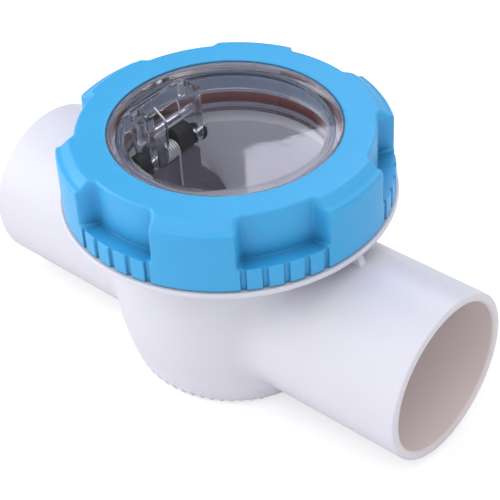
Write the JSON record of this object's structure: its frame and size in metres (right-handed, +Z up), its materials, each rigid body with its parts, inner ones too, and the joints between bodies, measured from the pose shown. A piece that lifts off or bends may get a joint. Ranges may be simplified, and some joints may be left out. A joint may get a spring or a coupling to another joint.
{
  "type": "swing check valve",
  "caption": "In-line pool check valve: two coaxial spigots, bowl, screw lock ring with grip pockets, clear sight cover and a spring-closed hinged flapper",
  "frame": {"origin": "centre of the flat base under the bowl, below the neck axis", "axes": "+X flow direction from inlet to outlet, +Z up the neck axis, +Y to the left when looking downstream; flow axis at z = 33 mm, neck axis at x = y = 0"},
  "size_m": [0.192, 0.121, 0.0982],
  "materials": {
    "white_plastic": "semi-gloss moulded white uPVC with a cool cast",
    "blue_plastic": "semi-gloss moulded sky blue plastic",
    "clear_plastic": "clear polished plastic",
    "red_rubber": "matte red-brown rubber",
    "grey_plastic": "satin dark grey moulded plastic",
    "black_plastic": "satin black plastic",
    "black_rubber": "matte black rubber",
    "stainless": "bright stainless steel",
    "slip_plastic": "white low-friction plastic"
  },
  "bodies": {
    "body": {"valve_body": "white_plastic", "sight_cover": "clear_plastic", "cover_o_ring": "red_rubber", "hinge_pin": "stainless", "bush_left": "black_plastic", "bush_right": "black_plastic", "pin_clip_left": "stainless", "pin_clip_right": "stainless", "spring_sleeve": "slip_plastic", "torsion_spring": "stainless"},
    "ring_carrier": {"slip_washer": "slip_plastic"},
    "ring": {"lock_ring": "blue_plastic"},
    "flapper": {"flapper_arm": "grey_plastic", "flapper_seal": "black_rubber", "seal_retainer": "stainless", "retainer_screw": "stainless", "nut_washer": "stainless", "retainer_nut": "stainless", "thrust_washer_left": "slip_plastic", "thrust_washer_right": "slip_plastic"}
  },
  "joints": [
    {"name": "ring_rise", "type": "slide", "parent": "body", "child": "ring_carrier", "axis": [0, 0, 1], "range_m": [0, 0.0126]},
    {"name": "ring_spin", "type": "hinge", "parent": "ring_carrier", "child": "ring", "pos_m": [0, 0, 0.085], "axis": [0, 0, 1], "range_deg": [0, 900]},
    {"name": "flapper_swing", "type": "hinge", "parent": "body", "child": "flapper", "pos_m": [-0.0275, 0, 0.0747], "axis": [0, -1, 0], "range_deg": [0, 65], "stiffness_Nm_per_rad": 0.02, "springref_deg": -28.65, "deforming": ["torsion_spring"]}
  ],
  "couplings": [
    {"joint": "ring_rise", "follows": "ring_spin", "m_per_rad": 0.00079577}
  ]
}
